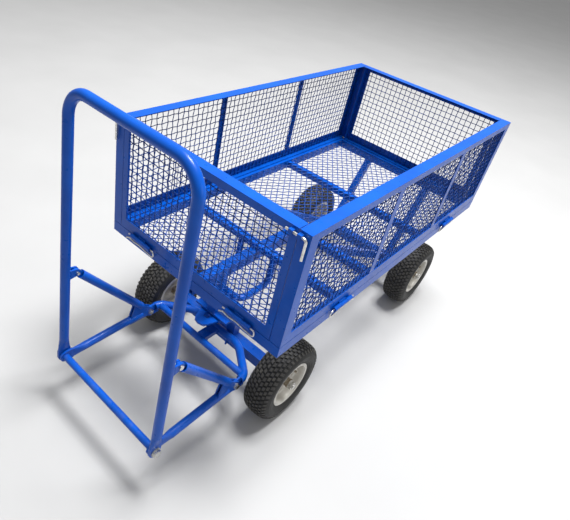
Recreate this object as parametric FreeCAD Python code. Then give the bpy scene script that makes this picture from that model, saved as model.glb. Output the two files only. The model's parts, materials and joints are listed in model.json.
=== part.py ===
import FreeCAD, Part
import math
import os

V = FreeCAD.Vector

# Tow behind cart. Millimetres, Z up, X forward towards the handle, Y to the cart's left.
# Origin: on the ground, under the middle of the tray.

# tray and deck
TRAY_LENGTH = 1520.0
TRAY_WIDTH = 800.0
DECK_BOTTOM = 520.0
RAIL = 40.0
RAIL_WALL = 3.0
SEAM = 2.0
PANEL_TOP = 970.0
ANGLE_WALL = 3.0
FLANGE = 40.0
TOP_LEG = 25.0
BOTTOM_LEG = 25.0
END_POST = 25.0
PANEL_GAP = 2.0
BAR_WIDTH = 30.0
BAR_AT = 253.0
CROSS_MEMBERS = (-250.0, 180.0, 400.0)
MEMBER_WIDTH = 30.0
MEMBER_HEIGHT = 25.0
MEMBER_TOP = 551.0

# wire mesh
WIRE = 3.0
PITCH = 25.0
LAYER = 3.2
FLOOR_SLOPE = 35.0

# panel hinges, R-clips and corner latches
HINGE_OFFSET = 8.4
KNUCKLE_R = 8.0
CLIP_R = 2.5
CLIP_FIT = 0.1
HINGE_AT_END = 237.0
HINGE_AT_SIDE = 430.0
KNUCKLE_HALF = 52.0
LATCH_R = 4.0
LATCH_FIT = 0.1
LATCH_Z = 955.0

# wheels and axles
WHEEL_R = 165.0
TYRE_WIDTH = 114.0
WHEEL_Y = 316.0
RIM_R = 95.0
FRONT_X = 520.0
REAR_X = -530.0
BEAM = 45.0
BEAM_WALL = 4.0
BEAM_HALF = 250.0
SHAFT_R = 10.0
SHAFT_FIT = 0.05
VALVE_BACK = 38.0
VALVE_UP = 30.0

# turntable
LOWER_PLATE_Z = 292.0
PLATE = 8.0
UPPER_PLATE_Z = 304.0
KINGPIN_R = 10.0
STAY = 30.0
STAY_WALL = 2.5
HANGER_HALF = 83.0
HANGER_R = 13.0
HANGER_Z = 405.0
RISER_BACK = 570.0
RISER = 40.0
PLATE_BACK = 485.0

TOW_HOLE_X = 624.0
TOW_HOLE_R = 11.0

# drawbar, side links and handle
LOOP_R = 16.0
LOOP_Z = 197.5
LOOP_X = 555.0
LINK_Y = 238.0
CROSS_X = 651.0
PIVOT_X = 705.0
LINK_R = 15.0
LINK_WALL = 2.5
FOOT_X = 1074.0
FOOT_Z = 190.0
LEG_Y = 249.0
LEG_R = 16.0
LEG_WALL = 2.5
HANDLE_TOP = 1160.0
HANDLE_LEAN = 0.054
HANDLE_BEND = 80.0
CLEVIS_X = 1018.0
CLEVIS_Z = 545.0

DECK_TOP = DECK_BOTTOM + RAIL
PANEL_BOTTOM = DECK_TOP + SEAM
HINGE_Z = DECK_TOP + SEAM / 2
HALF_L = TRAY_LENGTH / 2
HALF_W = TRAY_WIDTH / 2

os.makedirs("parts", exist_ok=True)


def box(x0, x1, y0, y1, z0, z1):
    """Box between two corners."""
    return Part.makeBox(x1 - x0, y1 - y0, z1 - z0, V(x0, y0, z0))


def rod(start, end, radius):
    """Straight round bar between two points."""
    start, end = V(*start), V(*end)
    return Part.makeCylinder(radius, (end - start).Length, start, end - start)


def fuse(shapes):
    """One solid from touching shapes."""
    return shapes[0].multiFuse(shapes[1:]).removeSplitter()


def save(name, shapes):
    """Write one node: a shape, or a list of separate solids."""
    if isinstance(shapes, list):
        shapes = Part.makeCompound(shapes)
    shapes.exportStep("parts/%s.step" % name)


def mirrored_y(shape):
    return shape.mirror(V(0, 0, 0), V(0, 1, 0))


def mirrored_x(shape):
    return shape.mirror(V(0, 0, 0), V(1, 0, 0))


def both_sides(shape):
    """A shape and its mirror image across the cart's long centre plane."""
    return [shape, mirrored_y(shape)]


def bent_path(points, bend):
    """Wire through the points with the inner corners rounded: one bend radius, or one per corner."""
    points = [V(*p) for p in points]
    bends = bend if isinstance(bend, (list, tuple)) else [bend] * (len(points) - 2)
    edges = []
    at = points[0]
    for before, corner, after, bend in zip(points, points[1:], points[2:], bends):
        into = (corner - before).normalize()
        out = (after - corner).normalize()
        turn = into.getAngle(out)
        cut = bend * math.tan(turn / 2)
        first = corner - into * cut
        last = corner + out * cut
        inward = (out - into).normalize()
        centre = corner + inward * (bend / math.cos(turn / 2))
        middle = centre - inward * bend
        if (first - at).Length > 1e-6:
            edges.append(Part.makeLine(at, first))
        edges.append(Part.Arc(first, middle, last).toShape())
        at = last
    edges.append(Part.makeLine(at, points[-1]))
    return Part.Wire(edges)


def sweep(points, radius, bend):
    """Round bar bent along the points."""
    path = bent_path(points, bend)
    direction = V(*points[1]) - V(*points[0])
    circle = Part.Wire(Part.makeCircle(radius, V(*points[0]), direction))
    return path.makePipeShell([circle], True, False)


def bent_tube(points, radius, wall, bend):
    """Round tube bent along the points, open at both ends."""
    return sweep(points, radius, bend).cut(sweep(points, radius - wall, bend))


def beam_between(start, end, side, wall):
    """Square tube between two points, with two of its sides kept upright."""
    start, end = V(*start), V(*end)
    along = (end - start).normalize()
    across = V(0, 0, 1).cross(along).normalize()
    up = along.cross(across)

    def bar(half, extra):
        base = start - along * extra
        corners = [
            base + across * (half * a) + up * (half * b)
            for a, b in ((1, 1), (-1, 1), (-1, -1), (1, -1), (1, 1))
        ]
        length = (end - start).Length + 2 * extra
        return Part.Face(Part.makePolygon(corners)).extrude(along * length)

    return bar(side / 2, 0).cut(bar(side / 2 - wall, 1))


def hex_prism(centre, axis, across_flats, height):
    """Hexagonal prism that starts at centre and grows along axis."""
    axis = V(*axis)
    radius = across_flats / math.sqrt(3)
    side = V(0, 0, 1) if abs(axis.z) < 0.5 else V(1, 0, 0)
    other = axis.cross(side)
    points = []
    for n in range(7):
        angle = math.radians(60 * n)
        points.append(V(*centre) + side * (radius * math.cos(angle)) + other * (radius * math.sin(angle)))
    return Part.Face(Part.makePolygon(points)).extrude(axis * height)


def plate_xz(points, y0, y1):
    """Plate with an outline in X and Z, between two Y positions."""
    outline = Part.makePolygon([V(x, y0, z) for x, z in points + points[:1]])
    return Part.Face(outline).extrude(V(0, y1 - y0, 0))


def revolve_y(profile, centre):
    """Solid of revolution about the Y line through centre; the profile is (radius, y) pairs."""
    x, y, z = centre
    outline = Part.makePolygon([V(x + r, y + w, z) for r, w in profile + profile[:1]])
    return Part.Face(outline).revolve(V(x, y, z), V(0, 1, 0), 360)


# ---------------------------------------------------------------- deck

def deck_frame():
    """Welded rectangle of square tube with three lighter cross members."""
    def rectangle(inset):
        x, y = HALF_L - inset, HALF_W - inset
        low, high = DECK_BOTTOM + inset, DECK_TOP - inset
        inner_x, inner_y = HALF_L - RAIL + inset, HALF_W - RAIL + inset
        return box(-x, x, -y, y, low, high).cut(
            box(-inner_x, inner_x, -inner_y, inner_y, low - 1, high + 1)
        )

    ring = rectangle(0).cut(rectangle(RAIL_WALL))
    members = []
    inner_y = HALF_W - RAIL
    for x in CROSS_MEMBERS:
        outer = box(
            x - MEMBER_WIDTH / 2, x + MEMBER_WIDTH / 2, -inner_y, inner_y,
            MEMBER_TOP - MEMBER_HEIGHT, MEMBER_TOP,
        )
        hollow = box(
            x - MEMBER_WIDTH / 2 + 2, x + MEMBER_WIDTH / 2 - 2, -inner_y - 1, inner_y + 1,
            MEMBER_TOP - MEMBER_HEIGHT + 2, MEMBER_TOP - 2,
        )
        members.append(outer.cut(hollow))
    return fuse([ring] + members)


def wires(low, high, count):
    """Evenly spaced positions for a row of wires."""
    step = (high - low) / (count - 1)
    return [low + step * n for n in range(count)]


def slanted_wires(half_x, half_y, slope, z):
    """A family of parallel slanted wires, evenly spaced and clipped to a rectangle."""
    dx, dy = math.cos(slope), math.sin(slope)
    reach = abs(half_x * dy) + abs(half_y * dx) - PITCH / 2
    shapes = []
    for offset in wires(-reach, reach, round(2 * reach / PITCH) + 1):
        low = max((-half_x + offset * dy) / dx, (-half_y * math.copysign(1, dy) - offset * dx) / dy)
        high = min((half_x + offset * dy) / dx, (half_y * math.copysign(1, dy) - offset * dx) / dy)
        ends = [(t * dx - offset * dy, t * dy + offset * dx, z) for t in (low, high)]
        shapes.append(rod(ends[0], ends[1], WIRE / 2))
    return shapes


def deck_mesh():
    """Floor mesh: two layers of wires that cross in long diamonds over the cross members."""
    x_end, y_end = HALF_L - RAIL - 1.5, HALF_W - RAIL - 1.5
    z = MEMBER_TOP + WIRE / 2 + 0.2
    slope = math.radians(FLOOR_SLOPE)
    return slanted_wires(x_end, y_end, slope, z) + slanted_wires(x_end, y_end, -slope, z + LAYER)


# ---------------------------------------------------------------- panels
# Each panel is drawn standing along X with its outer face at Y = face, then turned into place.

def panel_frame(half_length, face, post):
    """Angle-iron frame: wide top flange, bottom rail and two end posts."""
    x, y, w = half_length, face, ANGLE_WALL
    low, high = PANEL_BOTTOM, PANEL_TOP
    depth = min(FLANGE, post)
    pieces = [
        box(-x, x, y - FLANGE, y, high - w, high),
        box(-x, x, y - w, y, high - TOP_LEG, high),
        box(-x, x, y - BOTTOM_LEG, y, low, low + w),
        box(-x, x, y - w, y, low, low + FLANGE),
        box(-x, -x + post, y - w, y, low, high),
        box(x - post, x, y - w, y, low, high),
        box(-x, -x + w, y - depth, y, low, high),
        box(x - w, x, y - depth, y, low, high),
    ]
    return fuse(pieces)


def panel_bars(face):
    """The two flat uprights of a side panel, flush with its outer face."""
    return [
        box(
            x - BAR_WIDTH / 2, x + BAR_WIDTH / 2, face - ANGLE_WALL, face,
            PANEL_BOTTOM + FLANGE, PANEL_TOP - TOP_LEG,
        )
        for x in (-BAR_AT, BAR_AT)
    ]


def panel_mesh(half_length, face):
    """Panel mesh: long wires behind the frame's outer legs, upright wires behind those."""
    w = ANGLE_WALL
    x_end = half_length - w - 0.3
    low, high = PANEL_BOTTOM + w + 0.3, PANEL_TOP - w - 0.3
    y = face - w - WIRE / 2 - 0.2
    half = PITCH / 2
    x_lines = wires(-x_end + half, x_end - half, round(2 * x_end / PITCH))
    z_lines = wires(low + half, high - half, round((high - low) / PITCH))
    long = [rod((-x_end, y, z), (x_end, y, z), WIRE / 2) for z in z_lines]
    upright = [rod((x, y - LAYER, low), (x, y - LAYER, high), WIRE / 2) for x in x_lines]
    return long + upright


def knuckle(start, end, face, up):
    """Hinge tube along X with a weld tab: up for the panel, down for the deck rail."""
    y = face + HINGE_OFFSET
    tube = rod((start, y, HINGE_Z), (end, y, HINGE_Z), KNUCKLE_R)
    if up:
        tab = box(start, end, face, face + 4.4, HINGE_Z + 1, HINGE_Z + 12)
    else:
        tab = box(start, end, face, face + 4.4, HINGE_Z - 12, HINGE_Z - 1)
    bore = rod((start - 1, y, HINGE_Z), (end + 1, y, HINGE_Z), CLIP_R + CLIP_FIT)
    return fuse([tube, tab]).cut(bore)


def panel_knuckles(centres, face):
    return [knuckle(x - 19, x + 19, face, True) for x in centres]


def deck_knuckles(centres, face):
    shapes = []
    for x in centres:
        shapes.append(knuckle(x - KNUCKLE_HALF, x - 20, face, False))
        shapes.append(knuckle(x + 20, x + KNUCKLE_HALF, face, False))
    return shapes


def r_clip(x, face):
    """Spring wire clip: a straight leg through the knuckles and a waved leg hung below them."""
    y = face + HINGE_OFFSET
    z = HINGE_Z
    points = [
        (x - 66, y, z), (x + 70, y, z), (x + 70, y, z - 25), (x + 30, y, z - 22),
        (x - 8, y, z - 17), (x - 36, y, z - 20), (x - 62, y, z - 16), (x - 78, y, z - 24),
    ]
    return sweep(points, CLIP_R, 9.0)


def turned(shape, face_axis):
    """Turn a panel drawn at +Y so that its outer face looks along the named axis."""
    angle = {"left": 0, "right": 0, "front": -90, "rear": -90}[face_axis]
    shape = shape.copy()
    shape.rotate(V(0, 0, 0), V(0, 0, 1), angle)
    if face_axis == "rear":
        shape = mirrored_x(shape)
    if face_axis == "right":
        shape = mirrored_y(shape)
    return shape


def latch_eye(x, y, outward):
    """Eye that a corner latch slides through: centre x, y and the way it stands off the panel."""
    half = 7.0
    low = min(x - outward * 7.5, x + outward * 6.5)
    block = box(low, low + 14, y - half, y + half, LATCH_Z - 7, LATCH_Z + 7)
    return block.cut(rod((x, y - half - 1, LATCH_Z), (x, y + half + 1, LATCH_Z), LATCH_R + LATCH_FIT))


def latch_rod(x_sign, y_sign):
    """Bent round bar that locks an end panel to a side panel at one corner."""
    x = x_sign * (HALF_L + 7.5)
    points = [(x, y_sign * 322, LATCH_Z), (x, y_sign * 391, LATCH_Z), (x, y_sign * 391, 890)]
    return sweep(points, LATCH_R, 10.0)


# ---------------------------------------------------------------- wheels

def tyre(x, y):
    """Hollow tyre: crowned tread, rounded shoulders, bulged walls and a bead on each side."""
    h = TYRE_WIDTH / 2
    outer = [
        (WHEEL_R, -8), (WHEEL_R, 8), (WHEEL_R - 1.5, 26), (WHEEL_R - 4.5, 38), (WHEEL_R - 9, 46),
        (WHEEL_R - 17, h - 4), (WHEEL_R - 29, h), (WHEEL_R - 43, h), (WHEEL_R - 56, h - 4),
        (WHEEL_R - 65, h - 10), (RIM_R + 0.5, h - 12.5), (RIM_R - 12, h - 12.5),
        (RIM_R - 12, h - 21), (RIM_R + 3, h - 23), (WHEEL_R - 45, h - 10), (WHEEL_R - 30, h - 9),
        (WHEEL_R - 19, h - 17), (WHEEL_R - 12, 26), (WHEEL_R - 10, 8),
    ]
    mirror = [(r, -w) for r, w in reversed(outer)]
    profile = [p for p in outer if p[1] > 0] + [p for p in mirror if p[1] < 0]
    return revolve_y(profile, (x, y, WHEEL_R))


def rim(x, y, side):
    """Pressed rim: flanges, barrel with a drop centre, and a dished disc with a valve hole."""
    t = 2.5
    half = TYRE_WIDTH / 2 - 12.5 + 0.3
    shell = [
        (RIM_R, -half), (RIM_R - 12.4, -half), (RIM_R - 12.4, -half + 8.7), (RIM_R - 14.5, -half + 11),
        (RIM_R - 15, -16), (RIM_R - 25, -12), (RIM_R - 25, 12), (RIM_R - 15, 16),
        (RIM_R - 14.5, half - 11), (RIM_R - 12.4, half - 8.7), (RIM_R - 12.4, half), (RIM_R, half),
        (RIM_R, half + t), (RIM_R - 12.4 - t, half + t), (RIM_R - 12.4 - t, half - 8),
        (RIM_R - 17.5, half - 11), (RIM_R - 17.5, 17), (RIM_R - 27.5, 13), (RIM_R - 27.5, -13),
        (RIM_R - 17.5, -17),
        (RIM_R - 17.5, -half + 11), (RIM_R - 12.4 - t, -half + 8), (RIM_R - 12.4 - t, -half - t),
        (RIM_R, -half - t),
    ]
    barrel = revolve_y(shell, (x, y, WHEEL_R))
    disc = revolve_y(
        [
            (17.3, side * 24), (30, side * 24), (38, side * 12), (58, side * 4), (RIM_R - 26.5, side * 4),
            (RIM_R - 26.5, side * 1), (57, side * 1), (36, side * 9), (28, side * 21), (17.3, side * 21),
        ],
        (x, y, WHEEL_R),
    )
    inner_disc = revolve_y(
        [
            (17.3, -side * 24), (30, -side * 24), (40, -side * 6), (56, -side * 2),
            (RIM_R - 26.5, -side * 2), (RIM_R - 26.5, side * 0.7), (55, side * 0.7),
            (38, -side * 3), (28, -side * 21), (17.3, -side * 21),
        ],
        (x, y, WHEEL_R),
    )
    valve_x, valve_z = x - VALVE_BACK, WHEEL_R + VALVE_UP
    valve_hole = rod((valve_x, y - 60, valve_z), (valve_x, y + 60, valve_z), 6.2)
    return fuse([barrel, disc, inner_disc]).cut(valve_hole)


def hub(x, y, side):
    """Hub tube, two flanged ball bearings and the rubber valve stem."""
    half = 42.0
    tube = rod((x, y - half + 6, WHEEL_R), (x, y + half - 6, WHEEL_R), 17.0)
    tube = tube.cut(rod((x, y - half, WHEEL_R), (x, y + half, WHEEL_R), 13.0))
    parts = [tube]
    for end in (-1, 1):
        flange = rod((x, y + end * (half - 5.8), WHEEL_R), (x, y + end * half, WHEEL_R), 19.0)
        body = rod((x, y + end * (half - 16), WHEEL_R), (x, y + end * (half - 5.8), WHEEL_R), 12.9)
        bore = rod((x, y - 60, WHEEL_R), (x, y + 60, WHEEL_R), SHAFT_R + SHAFT_FIT)
        parts.append(fuse([flange, body]).cut(bore))
    valve_x, valve_z = x - VALVE_BACK, WHEEL_R + VALVE_UP
    stem = fuse([
        rod((valve_x, y + side * 1, valve_z), (valve_x, y + side * 30, valve_z), 4.0),
        rod((valve_x, y + side * 1, valve_z), (valve_x, y + side * 8, valve_z), 5.9),
        rod((valve_x, y + side * 30, valve_z), (valve_x, y + side * 38, valve_z), 4.8),
    ])
    parts.append(stem)
    return parts


def axle_beam(x):
    """Square axle tube with its two end plates."""
    low, high = WHEEL_R - BEAM / 2, WHEEL_R + BEAM / 2
    tube = box(x - BEAM / 2, x + BEAM / 2, -BEAM_HALF, BEAM_HALF, low, high)
    inside = box(
        x - BEAM / 2 + BEAM_WALL, x + BEAM / 2 - BEAM_WALL, -BEAM_HALF + 6, BEAM_HALF - 6,
        low + BEAM_WALL, high - BEAM_WALL,
    )
    shaft_way = rod((x, -BEAM_HALF - 1, WHEEL_R), (x, BEAM_HALF + 1, WHEEL_R), SHAFT_R)
    return tube.cut(inside).cut(shaft_way)


def loop_tabs():
    """Two flat tabs on the front face of the front axle that hold the drawbar loop."""
    face = FRONT_X + BEAM / 2
    loop = rod((LOOP_X, -100, LOOP_Z), (LOOP_X, 100, LOOP_Z), LOOP_R)
    return [box(face, LOOP_X + 8, y - 3, y + 3, 155, LOOP_Z).cut(loop) for y in (-62, 62)]


def axle_shafts(x):
    """Stub axles with a spacer, an outer washer and a nut on each."""
    parts = []
    inner, outer = WHEEL_Y - 42, WHEEL_Y + 42
    for side in (1, -1):
        parts.append(rod((x, side * 150, WHEEL_R), (x, side * (outer + 20), WHEEL_R), SHAFT_R))
        spacer = rod((x, side * BEAM_HALF, WHEEL_R), (x, side * (inner - 0.4), WHEEL_R), 14)
        way = rod((x, side * 240, WHEEL_R), (x, side * 290, WHEEL_R), SHAFT_R)
        parts.append(spacer.cut(way))
        washer = rod((x, side * (outer + 0.4), WHEEL_R), (x, side * (outer + 3), WHEEL_R), 18)
        nut = hex_prism((x, side * (outer + 3), WHEEL_R), (0, side, 0), 30, 12)
        way = rod((x, side * outer, WHEEL_R), (x, side * (outer + 40), WHEEL_R), SHAFT_R)
        parts.append(washer.cut(way))
        parts.append(nut.cut(way))
    return parts


# ---------------------------------------------------------------- running gear

def rear_stays():
    """Two V frames of square tube that carry the rear axle below the deck."""
    parts = []
    for y in (-175.0, 175.0):
        back = beam_between((-749, y, 545), (REAR_X - 8, y, 178), STAY, STAY_WALL)
        front = beam_between((196, y, 545), (REAR_X + 8, y, 178), STAY, STAY_WALL)
        back = back.cut(box(-900, 300, y - 50, y + 50, DECK_BOTTOM, 600))
        front = front.cut(box(-900, 400, y - 50, y + 50, MEMBER_TOP - MEMBER_HEIGHT, 600))
        half = BEAM / 2
        seat = box(REAR_X - half, REAR_X + half, y - 50, y + 50, WHEEL_R - half, WHEEL_R + half)
        below = box(REAR_X - 60, REAR_X + 60, y - 50, y + 50, 0, WHEEL_R + half)
        back = back.cut(seat).cut(below)
        front = front.cut(seat).cut(below).cut(back)
        parts.append(back)
        parts.append(front)
    return parts


def front_support():
    """Upper turntable plate, the riser and spine that carry it, and the bent hanger tube behind."""
    top = UPPER_PLATE_Z + PLATE
    under = MEMBER_TOP - MEMBER_HEIGHT
    plate = box(PLATE_BACK, RISER_BACK + RISER, -80, 80, UPPER_PLATE_Z, top)
    plate = plate.cut(rod((FRONT_X, 0, UPPER_PLATE_Z - 1), (FRONT_X, 0, top + 1), KINGPIN_R + 0.05))
    half, wall = RAIL / 2, RAIL_WALL
    spine = box(166, 746, -half, half, under - RAIL, under)
    spine = spine.cut(box(160, 750, -half + wall, half - wall, under - RAIL + wall, under - wall))
    spine = spine.cut(box(HALF_L - RAIL, HALF_L, -half, half, DECK_BOTTOM, DECK_TOP))
    riser = upright(RISER_BACK + RISER / 2, 0, top, under - RAIL, RISER, 4)
    x, y, z = RISER_BACK - HANGER_R, HANGER_HALF, HANGER_Z
    back = CROSS_MEMBERS[2] - 6
    points = [(back, -y, under), (back, -y, z), (x, -y, z), (x, y, z), (back, y, z), (back, y, under)]
    hanger = bent_tube(points, HANGER_R, 2.0, [45.0, 30.0, 30.0, 45.0])
    return [plate, spine, riser, hanger]


def kingpin():
    """Turntable bolt, its washer and its lock nut."""
    x = FRONT_X
    top = UPPER_PLATE_Z + PLATE
    way = rod((x, 0, 200), (x, 0, top), KINGPIN_R)
    head = hex_prism((x, 0, top), (0, 0, 1), 30, 13)
    low = LOWER_PLATE_Z - 0.4
    bolt = fuse([head, rod((x, 0, low - 32), (x, 0, top), KINGPIN_R)])
    washer = rod((x, 0, low - 3), (x, 0, low), 18).cut(way)
    nut = hex_prism((x, 0, low - 19), (0, 0, 1), 30, 16).cut(way)
    return [bolt, washer, nut]


def turntable_plate():
    """Lower turntable plate with its tow-pin tongue, and the slip ring that it turns under."""
    x, z = FRONT_X, LOWER_PLATE_Z
    outline = [
        (PLATE_BACK, 75), (x + 75, 75), (x + 90, 46), (655, 32), (671, 20), (676, 0),
        (671, -20), (655, -32), (x + 90, -46), (x + 75, -75), (PLATE_BACK, -75),
    ]
    wire = Part.makePolygon([V(a, b, z) for a, b in outline + outline[:1]])
    plate = Part.Face(wire).extrude(V(0, 0, PLATE))
    plate = plate.cut(rod((x, 0, z - 1), (x, 0, z + PLATE + 1), KINGPIN_R + 0.1))
    plate = plate.cut(rod((TOW_HOLE_X, 0, z - 1), (TOW_HOLE_X, 0, z + PLATE + 1), TOW_HOLE_R))
    ring = rod((x, 0, z + PLATE), (x, 0, UPPER_PLATE_Z - 0.4), 34)
    return [plate, ring.cut(rod((x, 0, z), (x, 0, UPPER_PLATE_Z), 14))]


def upright(x, y, low, high, side, wall):
    """Upright square tube."""
    outer = box(x - side / 2, x + side / 2, y - side / 2, y + side / 2, low, high)
    half = side / 2 - wall
    return outer.cut(box(x - half, x + half, y - half, y + half, low - 1, high + 1))


def loop_points(end):
    """Corner points of the drawbar loop, from one arm round to the other."""
    arm = [(end, LINK_Y, LOOP_Z), (650, LINK_Y, LOOP_Z), (LOOP_X, 120, LOOP_Z)]
    return [(x, -y, z) for x, y, z in arm] + arm[::-1]


LOOP_BENDS = [50.0, 100.0, 100.0, 50.0]


def drawbar_loop():
    """Bent tube loop welded to the front of the axle, with a flat pivot lug on each end."""
    end = PIVOT_X - 30
    loop = bent_tube(loop_points(end), LOOP_R, LINK_WALL, LOOP_BENDS)
    lugs = []
    for side in (1, -1):
        y = side * LINK_Y
        bar = box(end - 16, PIVOT_X, y - 4, y + 4, LOOP_Z - 16, LOOP_Z + 16)
        eye = rod((PIVOT_X, y - 4, LOOP_Z), (PIVOT_X, y + 4, LOOP_Z), 16)
        hole = rod((PIVOT_X, y - 10, LOOP_Z), (PIVOT_X, y + 10, LOOP_Z), 6.05)
        lugs.append(fuse([bar, eye]).cut(hole))
    return fuse([loop] + lugs)


def drawbar_cross():
    """Cross tube between the loop's arms."""
    x = CROSS_X
    tube = rod((x, -LINK_Y, LOOP_Z), (x, LINK_Y, LOOP_Z), 13)
    tube = tube.cut(rod((x, -LINK_Y - 1, LOOP_Z), (x, LINK_Y + 1, LOOP_Z), 10.5))
    tube = tube.cut(sweep(loop_points(PIVOT_X), LOOP_R, LOOP_BENDS))
    return max(tube.Solids, key=lambda s: s.Volume)


def drawbar_tongue():
    """Channel that ties the cross tube to the loop, and its drop pin."""
    top = LOOP_Z + 10
    channel = box(LOOP_X + 4, CROSS_X, -20, 20, top - 20, top)
    channel = channel.cut(box(LOOP_X, CROSS_X + 20, -16, 16, top - 30, top - 4))
    channel = channel.cut(rod((CROSS_X, -30, LOOP_Z), (CROSS_X, 30, LOOP_Z), 13))
    channel = channel.cut(rod((LOOP_X, -30, LOOP_Z), (LOOP_X, 30, LOOP_Z), LOOP_R))
    x = 604
    pin = fuse([rod((x, 0, 156), (x, 0, top), 5), rod((x, 0, top), (x, 0, top + 6), 9)])
    return [channel.cut(rod((x, 0, 140), (x, 0, top + 1), 5)), pin]


def ring(centre, across, corner, middle):
    """Closed wire of four arcs; corner and middle are its half sizes along across and along Y."""
    def place(size, i, j):
        return centre + across * (i * size[0]) + V(0, j * size[1], 0)

    quarters = [
        ((1, 1), (0, 1), (-1, 1)),
        ((-1, 1), (-1, 0), (-1, -1)),
        ((-1, -1), (0, -1), (1, -1)),
        ((1, -1), (1, 0), (1, 1)),
    ]
    arcs = []
    for first, half_way, last in quarters:
        points = [place(corner, *first), place(middle, *half_way), place(corner, *last)]
        arcs.append(Part.Arc(*points).toShape())
    return Part.Wire(arcs)


def flattened_end(start, bolt, radius, width, thick, y):
    """Round tube end pressed flat: a loft from the tube to a flat bar with a rounded tip."""
    start, bolt = V(*start), V(*bolt)
    along = (bolt - start)
    along.y = 0
    length = along.Length
    along.normalize()
    across = along.cross(V(0, 1, 0))

    q = radius * math.sqrt(0.5)
    y1 = V(0, 1, 0)
    circle = ring(start, across, (q, q), (radius, radius))
    flat_at = start + along * 46
    flat_at.y = y
    a, b = width / 2 - thick / 2, thick / 2
    flat = ring(flat_at, across, (a, b), (a + b, b + 0.05))
    neck = Part.makeLoft([circle, flat], True)
    reach = length - 46
    blade = Part.Face(Part.makePolygon([
        flat_at + across * (width / 2 - 0.2) - y1 * b,
        flat_at - across * (width / 2 - 0.2) - y1 * b,
        flat_at - across * (width / 2 - 0.2) - y1 * b + along * reach,
        flat_at + across * (width / 2 - 0.2) - y1 * b + along * reach,
        flat_at + across * (width / 2 - 0.2) - y1 * b,
    ])).extrude(y1 * thick)
    tip_at = flat_at + along * reach
    tip = rod((tip_at.x, y - b, tip_at.z), (tip_at.x, y + b, tip_at.z), width / 2 - 0.2)
    hole = rod((bolt.x, y - 20, bolt.z), (bolt.x, y + 20, bolt.z), 8.05)
    return fuse([neck, blade, tip]).cut(hole)


def lower_z(x):
    """Height of the lower link's centre line."""
    return LOOP_Z + (FOOT_Z - LOOP_Z) * (x - PIVOT_X) / (FOOT_X - PIVOT_X)


def lower_link():
    """Left lower side link: round tube, pressed flat at the handle foot."""
    x0, x1 = PIVOT_X + 36, FOOT_X - 74
    tube = rod((x0, LINK_Y, lower_z(x0)), (x1, LINK_Y, lower_z(x1)), LINK_R)
    bore_ends = [(x, LINK_Y, lower_z(x)) for x in (x0 - 1, x1 + 1)]
    tube = tube.cut(rod(bore_ends[0], bore_ends[1], LINK_R - LINK_WALL))
    end = flattened_end((x1, LINK_Y, lower_z(x1)), (FOOT_X, LINK_Y, FOOT_Z), LINK_R, 42, 9, LINK_Y)
    link = fuse([tube, end])
    for blank in gusset_blanks():
        link = link.cut(blank)
    return max(link.Solids, key=lambda s: s.Volume)


UPPER_START = (748.0, LINK_Y, 245.0)
UPPER_END = (1000.0, LEG_Y, 526.0)


def upper_link():
    """Left upper side link: open round tube with a flat tab for the clevis pin."""
    start, end = V(*UPPER_START), V(*UPPER_END)
    along = (end - start).normalize()
    tube = rod(UPPER_START, UPPER_END, LINK_R).cut(
        rod(tuple(start - along), tuple(end + along), LINK_R - LINK_WALL)
    )
    flat = V(along.x, 0, along.z).normalize()
    side = V(0, 1, 0).cross(flat)
    back = V(CLEVIS_X, LEG_Y - 4, CLEVIS_Z) - flat * 52
    front = V(CLEVIS_X, LEG_Y - 4, CLEVIS_Z)
    corners = [back + side * 11, front + side * 11, front - side * 11, back - side * 11, back + side * 11]
    bar = Part.Face(Part.makePolygon(corners)).extrude(V(0, 8, 0))
    eye = rod((CLEVIS_X, LEG_Y - 4, CLEVIS_Z), (CLEVIS_X, LEG_Y + 4, CLEVIS_Z), 11)
    hole = rod((CLEVIS_X, LEG_Y - 10, CLEVIS_Z), (CLEVIS_X, LEG_Y + 10, CLEVIS_Z), 5.1)
    link = fuse([tube, fuse([bar, eye])]).cut(hole)
    for blank in gusset_blanks():
        link = link.cut(blank)
    return max(link.Solids, key=lambda s: s.Volume)


def gusset_blanks():
    """Two plates beside the left pivot lug that join the side links; their heels rest under the loop."""
    x, z = PIVOT_X, LOOP_Z
    heel = z - LOOP_R - 0.3
    points = [
        (x - 14, z + 12), (x - 17, z - 6), (x - 20, heel), (x - 45, heel), (x - 45, z - 27),
        (x - 5, z - 27), (x + 15, z - 18), (800, z - 18), (800, z), (780, z + 64), (758, z + 72),
        (737, z + 46), (x - 4, z + 18),
    ]
    return [plate_xz(points, low, low + 5) for low in (LINK_Y - 9.5, LINK_Y + 4.5)]


def gussets():
    """The left pair of gusset plates with the pivot hole."""
    hole = rod((PIVOT_X, LINK_Y - 20, LOOP_Z), (PIVOT_X, LINK_Y + 20, LOOP_Z), 6.1)
    return [plate.cut(hole) for plate in gusset_blanks()]


def pivot_bolts():
    """Left pivot bolt, washers and nut of the drawbar."""
    y_in, y_out = LINK_Y - 9.5, LINK_Y + 9.5
    at = (PIVOT_X, LOOP_Z)
    way = rod((at[0], y_in - 30, at[1]), (at[0], y_out + 20, at[1]), 6)
    head = hex_prism((at[0], y_out + 2, at[1]), (0, 1, 0), 19, 7.5)
    bolt = fuse([head, rod((at[0], y_in - 14, at[1]), (at[0], y_out + 2, at[1]), 6)])
    washer = rod((at[0], y_out, at[1]), (at[0], y_out + 2, at[1]), 12).cut(way)
    nut = hex_prism((at[0], y_in, at[1]), (0, -1, 0), 19, 10).cut(way)
    return [bolt, washer, nut]


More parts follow.
